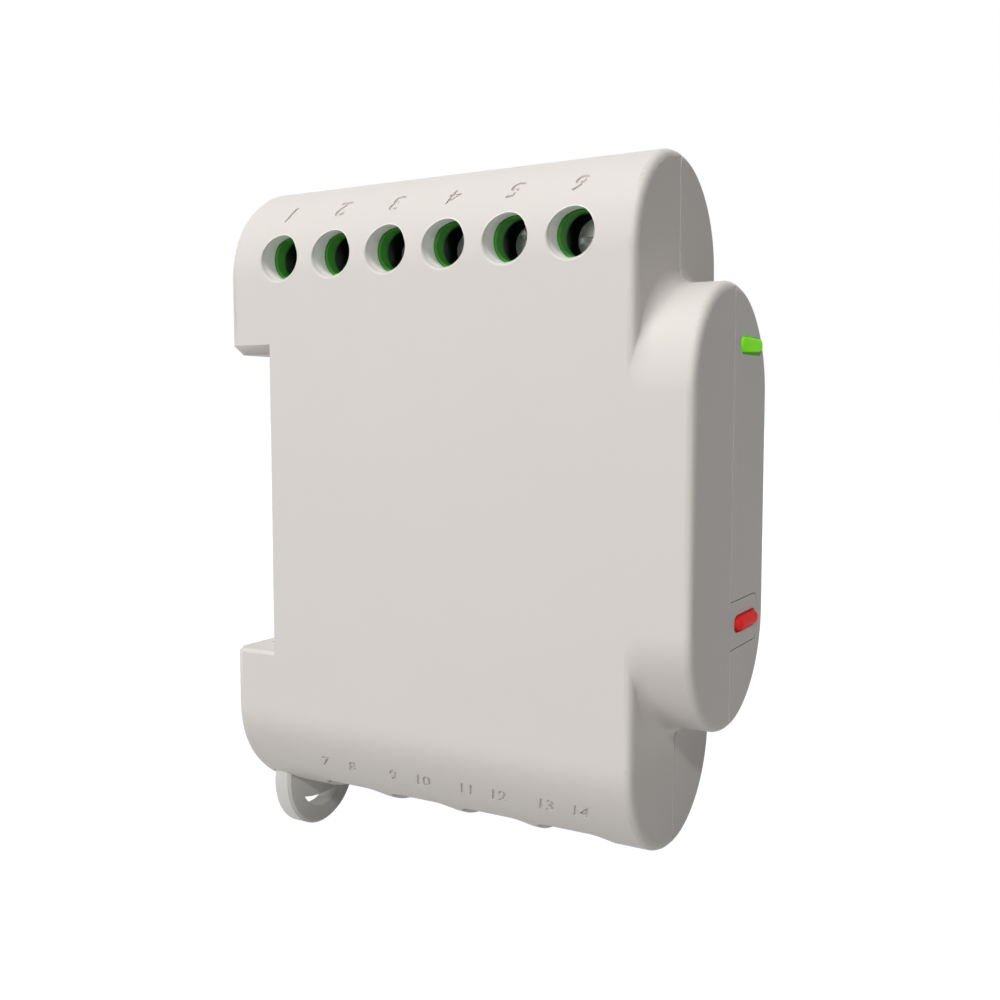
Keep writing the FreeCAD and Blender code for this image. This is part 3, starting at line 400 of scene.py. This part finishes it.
def mesh_piece(name, points, faces, body, slot_name):
    """A finished piece at the origin, riding on a body, with smooth faces."""
    mesh = bpy.data.meshes.new(name)
    mesh.from_pydata(points.reshape(-1, 3).tolist(), [], [list(face) for face in faces])
    mesh.shade_smooth()
    mesh.materials.append(FINISHES[slot_name].material)
    piece = in_scene(name, mesh)
    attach(piece, body)
    return piece


def ring_faces(rings, sides):
    """Four-sided faces between closed rings of points that follow each other."""
    i, j = np.meshgrid(np.arange(rings - 1), np.arange(sides), indexing="ij")
    k = (j + 1) % sides
    faces = np.stack([i * sides + j, i * sides + k, (i + 1) * sides + k, (i + 1) * sides + j], -1)
    return faces.reshape(-1, 4)


def tube_rings(path, radius, sides):
    """The rings of a round tube along a path that winds about an upright axis."""
    tangent = np.gradient(path, axis=0)
    tangent /= np.linalg.norm(tangent, axis=1, keepdims=True)
    away = path * [1, 1, 0] - path.mean(0) * [1, 1, 0]
    away -= (away * tangent).sum(1, keepdims=True) * tangent
    away /= np.linalg.norm(away, axis=1, keepdims=True)
    binormal = np.cross(tangent, away)
    turn = np.linspace(0, 2 * math.pi, sides, endpoint=False)
    ring = away[:, None] * np.cos(turn)[:, None] + binormal[:, None] * np.sin(turn)[:, None]
    return path[:, None] + radius * ring


def coil_spring():
    """Eight millimetres of compression spring: five open turns, and a flat turn at each end."""
    low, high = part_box("clip_spring")
    wire, turns, places, sides = 0.2 * MM, 7, 420, 10
    steps = np.linspace(0, 1, places)
    turn = turns * 2 * math.pi * steps
    rise = np.interp(steps, [0, 1 / turns, 1 - 1 / turns, 1], [0.0, 0.06, 0.94, 1.0])
    radius = (high.x - low.x) / 2 - wire
    path = np.stack([
        (low.x + high.x) / 2 + radius * np.cos(turn),
        (low.y + high.y) / 2 + radius * np.sin(turn),
        low.z + wire + (high.z - low.z - 2 * wire) * rise], -1)
    points = np.concatenate([tube_rings(path, wire, sides).reshape(-1, 3), path[[0, -1]]])
    count, ring = places * sides, np.arange(sides)
    start = np.stack([ring, np.full(sides, count), np.roll(ring, -1)], -1)
    end = np.stack([ring, np.roll(ring, -1), np.full(sides, sides + 1)], -1) + count - sides
    faces = ring_faces(places, sides)
    piece = mesh_piece("clip_spring_coil", points, faces, "housing", "spring_steel")
    shape = bmesh.new()
    shape.from_mesh(piece.data)
    verts = list(shape.verts)
    for face in np.concatenate([start, end]).tolist():
        shape.faces.new([verts[v] for v in face])
    bmesh.ops.recalc_face_normals(shape, faces=shape.faces)
    shape.to_mesh(piece.data)
    shape.free()
    piece.data.shade_smooth()
    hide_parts("clip_spring")
    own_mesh(piece)


coil_spring()

# Bars in the nose: node, body and slot, then in millimetres the middle along X and Z, half the
# length and half the height, how far the bar stands out, and the round of its edge
BARS = [
    ("light_guide", "housing", "light_green", 6.45, 20.6, 4.0, 0.82, 0.35, 0.35),
    ("reset_button", "button", "button_red", 6.0, -14.93, 3.75, 0.9, 0.7, 0.75),
]
BAR_SIDES, BAR_DEPTH = 64, 3.0 * MM


def soft_bar(node, body, slot_name, x, z, half_length, half_height, proud, soft):
    """A pill-shaped bar through the nose: rings from its back, over the round of its edge, to the
    faint crown of its face."""
    theta = np.linspace(0, math.pi / 2, 9)
    front = NOSE_Y - proud
    round_inset, crown_inset = soft * (1 - np.cos(theta)), [half_height * 0.8, half_height * 0.97]
    inset = np.maximum.accumulate(np.concatenate([[0, 0], round_inset, crown_inset]))
    depth = np.concatenate([
        [front + BAR_DEPTH, front + soft + 0.05 * MM],
        front + soft * (1 - np.sin(theta)),
        [front - 0.03 * MM, front - 0.04 * MM]])
    turn = np.linspace(0, 2 * math.pi, BAR_SIDES, endpoint=False) + math.pi / BAR_SIDES
    radius = (half_height - inset)[:, None]
    across = x + np.sign(np.cos(turn)) * (half_length - half_height) + radius * np.cos(turn)
    deep = np.repeat(depth[:, None], BAR_SIDES, 1)
    points = np.stack([across, deep, z + radius * np.sin(turn)], -1)
    last = (len(depth) - 1) * BAR_SIDES
    faces = ring_faces(len(depth), BAR_SIDES)[:, ::-1].tolist()
    faces += [list(range(BAR_SIDES)), list(range(last + BAR_SIDES - 1, last - 1, -1))]
    piece = mesh_piece(node + "_bar", points, faces, body, slot_name)
    piece.data.set_sharp_from_angle(angle=math.radians(60))
    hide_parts(node)


for node, body, slot_name, *sizes in BARS:
    soft_bar(node, body, slot_name, *[size * MM for size in sizes])

# Numbers in the near shell's side: text, height, Y, Z, and whether it reads from the other way up
UPPER_HEIGHT, UPPER_SHIFT, UPPER_Z = 2.8 * MM, -0.4 * MM, 39.7 * MM
LOWER_HEIGHT, LOWER_SHIFTS, LOWER_Z = 2.0 * MM, (1.7 * MM, -3.1 * MM), -37.6 * MM
ENGRAVED = 0.25 * MM
# The font's size for a figure of height 1, its slant, and how far its outline is widened
FONT_SIZE, SLANT, WIDENED = 1.37, 0.3, 0.02
NUMBERS = [(str(i + 1), UPPER_HEIGHT, y + UPPER_SHIFT, UPPER_Z, True)
           for i, y in enumerate(TERMINAL_Y)]
NUMBERS += [(str(len(TERMINAL_Y) + 1 + 2 * i + j), LOWER_HEIGHT, y + shift, LOWER_Z, False)
            for i, y in enumerate(SOCKET_Y) for j, shift in enumerate(LOWER_SHIFTS)]


def number_mesh(text, height, middle, along, up):
    """A sloping number as a closed solid that goes as far into the surface as it stands out."""
    curve = bpy.data.curves.new("number_" + text, "FONT")
    curve.body = text
    curve.size = height * FONT_SIZE
    curve.shear = SLANT
    curve.extrude = ENGRAVED
    # A wider outline would cross itself in a 4
    curve.offset = 0 if "4" in text else WIDENED * height
    curve.align_x, curve.align_y = "CENTER", "CENTER"
    curve.resolution_u = 3
    holder = in_scene("number_" + text, curve)
    bpy.context.view_layer.update()
    mesh = bpy.data.meshes.new_from_object(holder)
    bpy.data.objects.remove(holder)
    turn = Matrix((along, up, along.cross(up))).transposed().to_4x4()
    turn.translation = middle
    mesh.transform(turn)
    return mesh


def on_side(y, z):
    """A point of the near shell's side and the surface's upward direction there."""
    over = abs(z) - BODY_END_Z
    if over <= 0:
        return Vector((-HALF_WIDTH, y, z)), Vector((0, 0, 1))
    angle = math.asin(over / HALF_WIDTH)
    lift = math.copysign(1, z)
    point = Vector((-HALF_WIDTH * math.cos(angle), y, z))
    return point, Vector((lift * math.sin(angle), 0, math.cos(angle)))


def engraving_tool():
    """All the numbers as one object that cuts them."""
    shape = bmesh.new()
    for text, height, y, z, flipped in NUMBERS:
        point, up = on_side(y, z)
        way = 1 if flipped else -1
        one = number_mesh(text, height, point, Vector((0, way, 0)), -way * up)
        shape.from_mesh(one)
        bpy.data.meshes.remove(one)
    bmesh.ops.remove_doubles(shape, verts=shape.verts, dist=1e-7)
    bmesh.ops.recalc_face_normals(shape, faces=shape.faces)
    mesh = bpy.data.meshes.new("engraving_tool")
    shape.to_mesh(mesh)
    shape.free()
    return in_scene("engraving_tool", mesh)


def shell_copy(name):
    """A shell again, with its faces joined up."""
    mesh = frame["nodes"][name].data.copy()
    shape = bmesh.new()
    shape.from_mesh(mesh)
    bmesh.ops.remove_doubles(shape, verts=shape.verts, dist=1e-6)
    shape.to_mesh(mesh)
    shape.free()
    return in_scene(name + "_engraved", mesh)


def engrave(piece):
    """Cuts the numbers into a shell."""
    tool = engraving_tool()
    cut = piece.modifiers.new("engraving", "BOOLEAN")
    cut.operation, cut.solver, cut.object = "DIFFERENCE", "EXACT", tool
    bpy.context.view_layer.update()
    result = piece.evaluated_get(bpy.context.evaluated_depsgraph_get())
    done = bpy.data.meshes.new_from_object(result)
    piece.modifiers.clear()
    piece.data = done
    bpy.data.objects.remove(tool)
    done.materials.clear()
    done.materials.append(FINISHES["housing_plastic"].material)


# How far from a zone's surface a point of it may lie, in metres
ON_SIDE, ON_EDGE, ON_BLEND = 0.02 * MM, 0.06 * MM, 0.12 * MM
ON_RIM, ON_OUTLINE, ROUNDING = 0.03 * MM, 0.01 * MM, 0.001 * MM
# How far the bevels of the holes and of the sockets may reach, and where their zones end
HOLE_BEVEL, SOCKET_BEVEL = 1.0 * MM, 1.2 * MM
INNER_X, OUTER_Z, UNDERSIDE_Z = -9 * MM, 40 * MM, -37 * MM


def unit(vectors):
    """Vectors at length 1, or left at nothing where they are nothing."""
    return vectors / np.maximum(np.linalg.norm(vectors, axis=1, keepdims=True), 1e-12)


def outward(points, end):
    """How far points lie from the middle line of a round-ended form, and the way out from it."""
    over = points[:, 2] - np.clip(points[:, 2], -end, end)
    away = np.stack([points[:, 0], np.zeros(len(points)), over], -1)
    return np.hypot(points[:, 0], over), unit(away)


def side_zone(end):
    """The long flat sides and the round ends."""
    def zone(points):
        reach, away = outward(points, end)
        return away, away, np.abs(reach - HALF_WIDTH) < ON_SIDE
    return zone, 5


def strip_turn(out, ahead):
    """How far a round edge has turned, in radians, where its strips reach out and ahead so far."""
    angle = np.degrees(np.arctan2(out, ahead))
    return np.radians(np.clip((angle - HALF_STRIP) * 90 / (90 - 2 * HALF_STRIP), 0, 90))


def edge_zone(end, edge_y, radius, way):
    """An edge rounded in three strips, where way is -1 at the front and 1 at the rear."""
    def zone(points):
        reach, away = outward(points, end)
        out, ahead = reach - HALF_WIDTH + radius, (points[:, 1] - edge_y) * way + radius
        turn = strip_turn(out, ahead)[:, None]
        true = away * np.sin(turn) + np.array([0, way, 0]) * np.cos(turn)
        inside = (np.abs(np.hypot(out, ahead) - radius) < ON_EDGE) & (out > 0) & (ahead > 0)
        return true, true, inside
    return zone, 12


def edge_drop(x):
    """How far the body's rounded front edge has fallen back at x, and its smooth angle there."""
    corners = np.radians(HALF_STRIP * np.array([1, 3, 5, 7]))
    reach = FRONT_ROUND / math.cos(corners[0])
    out = np.abs(x) - HALF_WIDTH + FRONT_ROUND
    drop = np.interp(out, reach * np.sin(corners), FRONT_ROUND - reach * np.cos(corners))
    return drop, strip_turn(out, FRONT_ROUND - drop)


def root_form(points, y):
    """The hollow blend: the nose's round end carried along a quarter turn without turning.

    For each point, taken at depth y: the sine and cosine of the quarter turn there, the height over
    the round end's middle, and whether it lies on the blend."""
    lift = np.sign(points[:, 2])
    cosine = np.clip(1 - (FRONT_Y - y) / ROOT_ROUND, 0, 1)
    sine = np.sqrt(1 - cosine ** 2)
    over = points[:, 2] - lift * (NOSE_END_Z + ROOT_ROUND * (1 - sine))
    near = np.abs(np.hypot(points[:, 0], over) - HALF_WIDTH) < ON_BLEND
    fits = near & (over * lift > -ROUNDING)
    fits &= (y < FRONT_Y + ROUNDING) & (y > FRONT_Y - ROOT_ROUND - ROUNDING)
    return sine, cosine, over, fits


def root_zone(points):
    """The hollow blend, as it lies on the body's rounded edge."""
    drop, turn = edge_drop(points[:, 0])
    sine, cosine, over, fits = root_form(points, points[:, 1] - drop)
    steep = np.abs(over) * cosine
    true = unit(np.stack([
        points[:, 0] * sine * np.cos(turn) + np.sign(points[:, 0]) * steep * np.sin(turn),
        -steep * np.cos(turn), over * sine * np.cos(turn)], -1))
    return true, true, fits


def nearest_offset(y, places, pitch):
    """How far along Y each number is from the nearest of the places in a row."""
    index = np.clip(np.round((places[0] - y) / pitch), 0, len(places) - 1)
    return y - places[0] + pitch * index


def hole_zone(across, middle, radius, side):
    """Round holes in a row along Y, and the bevel round each: soft from the outside to the bore."""
    def zone(points):
        _, away = outward(points, BODY_END_Z)
        offset = np.zeros_like(points)
        offset[:, across] = points[:, across] - middle
        offset[:, 1] = nearest_offset(points[:, 1], TERMINAL_Y, TERMINAL_PITCH)
        reach = np.linalg.norm(offset, axis=1)
        wall = -unit(offset)
        true = np.where((reach < radius + ON_RIM)[:, None], wall, away)
        return true, wall, side(points) & (reach < radius + HOLE_BEVEL)
    return zone, 60


def socket_zone(points):
    """The openings of the sockets, and the bevel round each: soft from the outside to the wall."""
    reach, away = outward(points, BODY_END_Z)
    beside = nearest_offset(points[:, 1], SOCKET_Y, SOCKET_PITCH)
    offset = np.stack([points[:, 0] - SOCKET_X, beside], -1)
    beyond = np.abs(offset) - np.array(SOCKET_SPAN) + SOCKET_CORNER
    most = beyond.max(1)[:, None]
    out = np.where(most > 0, np.maximum(beyond, 0), beyond >= most)
    wall = unit(np.concatenate([-np.sign(offset) * out, np.zeros((len(points), 1))], 1))
    true = np.where((np.abs(reach - HALF_WIDTH) < ON_RIM)[:, None], away, wall)
    inside = (points[:, 2] < UNDERSIDE_Z) & (most[:, 0] < SOCKET_CORNER + SOCKET_BEVEL)
    return true, wall, inside


# A zone gives for each point the normal, the direction that its faces look in, and whether the
# point is in it. The number is how many degrees a face may look away from that direction.
ZONES = [
    side_zone(BODY_END_Z), side_zone(NOSE_END_Z),
    edge_zone(BODY_END_Z, FRONT_Y, FRONT_ROUND, -1), edge_zone(BODY_END_Z, REAR_Y, REAR_ROUND, 1),
    edge_zone(NOSE_END_Z, NOSE_Y, FRONT_ROUND, -1), (root_zone, 20),
    hole_zone(2, SCREW_Z, SCREW_HOLE, lambda points: points[:, 0] < INNER_X),
    hole_zone(0, WIRE_X, WIRE_HOLE, lambda points: points[:, 2] > OUTER_Z),
    (socket_zone, 60),
]


def read(items, attribute, width=3, kind=float):
    """One attribute of every vertex, corner or face, as an array."""
    values = np.empty(len(items) * width, kind)
    items.foreach_get(attribute, values)
    return values.reshape(-1, width) if width > 1 else values


def lay_roots(mesh):
    """Lays the ends of the hollow blends on the body's rounded edge, which they stood out from."""
    points = read(mesh.vertices, "co")
    fits = root_form(points, points[:, 1])[3]
    reach, _ = outward(points, NOSE_END_Z)
    from_outline, from_front = np.abs(reach - HALF_WIDTH), np.abs(points[:, 1] - FRONT_Y)
    fits |= (from_outline < ON_OUTLINE) & (from_front < ROUNDING)
    points[fits, 1] += edge_drop(points[fits, 0])[0]
    mesh.vertices.foreach_set("co", points.ravel())
    mesh.update()


def shade(mesh):
    """Smooth faces, with exact normals where they lie on one of the housing's zones.

    A face belongs to a zone when its middle does and it looks the zone's way."""
    mesh.shade_smooth()
    mesh.set_sharp_from_angle(angle=math.radians(26))
    sizes = read(mesh.polygons, "loop_total", 1, int)
    normals = read(mesh.corner_normals, "vector", 3, np.float32).astype(float)
    points = read(mesh.vertices, "co")[read(mesh.loops, "vertex_index", 1, int)]
    flat, middles = read(mesh.polygons, "normal"), read(mesh.polygons, "center")
    level = np.repeat(np.abs(flat).max(1) > 0.99999, sizes)
    normals[level] = np.repeat(flat, sizes, 0)[level]
    for zone, slack in ZONES:
        true, _, here = zone(points)
        _, way, inside = zone(middles)
        looks = (flat * way).sum(1) > math.cos(math.radians(slack))
        fits = np.repeat(inside & looks, sizes) & here & (np.linalg.norm(true, axis=1) > 0.5)
        normals[fits] = true[fits]
    mesh.normals_split_custom_set(normals.tolist())


for name in ("left_shell", "right_shell"):
    shell = shell_copy(name)
    if name == "left_shell":
        engrave(shell)
    lay_roots(shell.data)
    shade(shell.data)
    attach(shell, "housing")
    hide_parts(name)

# The stage: the middle of the object along Y, and a floor just below its lowest point
MIDDLE_Y = -27 * MM
FLOOR_Z, FLOOR_HALF = CAD_BOUNDS[0][2] - 0.2 * MM, 4
FLOOR_GREY, FLOOR_WHITE = (0.45, 0.45, 0.45), 1.17
# The share of that white that shows near the object, and the distances where it rises to all of it
NEAR_WHITE, NEAR, FAR = 0.86, 0.08, 0.4

# Lamps: name, watts, width in metres and place. The ambient light is the world's strength.
AMBIENT = 0.01
LAMPS = [
    ("key", 3.5, 0.06, (-0.93, -0.46, 0.61)),
    ("side", 9.5, 0.9, (-1.1, 0.55, 0.05)),
    ("top", 9.0, 0.4, (-0.42, 0.02, 1.15)),
]

CAMERA_PLACE, CAMERA_YAW, CAMERA_PITCH = (-0.13484, -0.10720, 0.01202), 59.98, -4.49
SEEING = ("Is Camera Ray", "Is Glossy Ray", "Is Transmission Ray")


def pale_floor():
    """A floor that takes the object's shadow, and is white to the camera, in metal and in glass."""
    mesh = bpy.data.meshes.new("floor")
    ends = (-FLOOR_HALF, FLOOR_HALF)
    corners = [(x, y, FLOOR_Z) for y in ends for x in ends]
    mesh.from_pydata(corners, [], [(0, 1, 3, 2)])
    made = Finish("pale_floor", FLOOR_GREY, 0.9)
    rays = made.tree.nodes.new("ShaderNodeLightPath").outputs
    camera, glossy, through = [Value(made, rays[kind]) for kind in SEEING]
    x, y, z = made.axes()
    far = ((x ** 2 + (y - MIDDLE_Y) ** 2) ** 0.5).ramp(NEAR, FAR)
    seen = (camera + glossy + through).math("MINIMUM", 1.0) * (NEAR_WHITE + far * (1 - NEAR_WHITE))
    white = made.node("Emission", {}, {"Strength": FLOOR_WHITE})
    both = made.node("MixShader", {}, [seen, Value(made, made.shader.outputs[0]), white])
    made.feed(made.tree.nodes["Material Output"].inputs["Surface"], both)
    mesh.materials.append(made.material)
    return in_scene("floor", mesh)


def white_world():
    """A world that lights the object faintly, and is white to the camera, in metal and in glass."""
    world = bpy.data.worlds.new("studio")
    world.use_nodes = True
    nodes, links = world.node_tree.nodes, world.node_tree.links
    rays = nodes.new("ShaderNodeLightPath").outputs
    total = rays[SEEING[0]]
    for kind in SEEING[1:]:
        both = nodes.new("ShaderNodeMath")
        links.new(total, both.inputs[0])
        links.new(rays[kind], both.inputs[1])
        total = both.outputs[0]
    bright = nodes.new("ShaderNodeMapRange")
    links.new(total, bright.inputs["Value"])
    bright.inputs["To Min"].default_value = AMBIENT
    bright.inputs["To Max"].default_value = 1.0
    links.new(bright.outputs[0], nodes["Background"].inputs["Strength"])
    nodes["Background"].inputs["Color"].default_value = (1, 1, 1, 1)
    return world


def photo_camera():
    """The camera as it was fitted to the photograph."""
    data = bpy.data.cameras.new("camera")
    data.lens, data.sensor_width, data.clip_start = 40.48, 36.0, 0.01
    camera = in_scene("camera", data)
    yaw, pitch = math.radians(CAMERA_YAW), math.radians(CAMERA_PITCH)
    level = math.cos(pitch)
    forward = Vector((math.sin(yaw) * level, math.cos(yaw) * level, math.sin(pitch)))
    camera.location = CAMERA_PLACE
    camera.rotation_euler = forward.to_track_quat("-Z", "Y").to_euler()
    return camera


floor = pale_floor()
for name, power, size, place in LAMPS:
    light = bpy.data.lights.new(name, "AREA")
    light.energy, light.size = power, size
    lamp = in_scene(name, light)
    aim = Vector((0, MIDDLE_Y, 0)) - Vector(place)
    lamp.location, lamp.rotation_euler = place, aim.to_track_quat("-Z", "Y").to_euler()
bpy.context.scene.world = white_world()
bpy.context.scene.camera = photo_camera()
bpy.context.scene.view_settings.view_transform = "Standard"
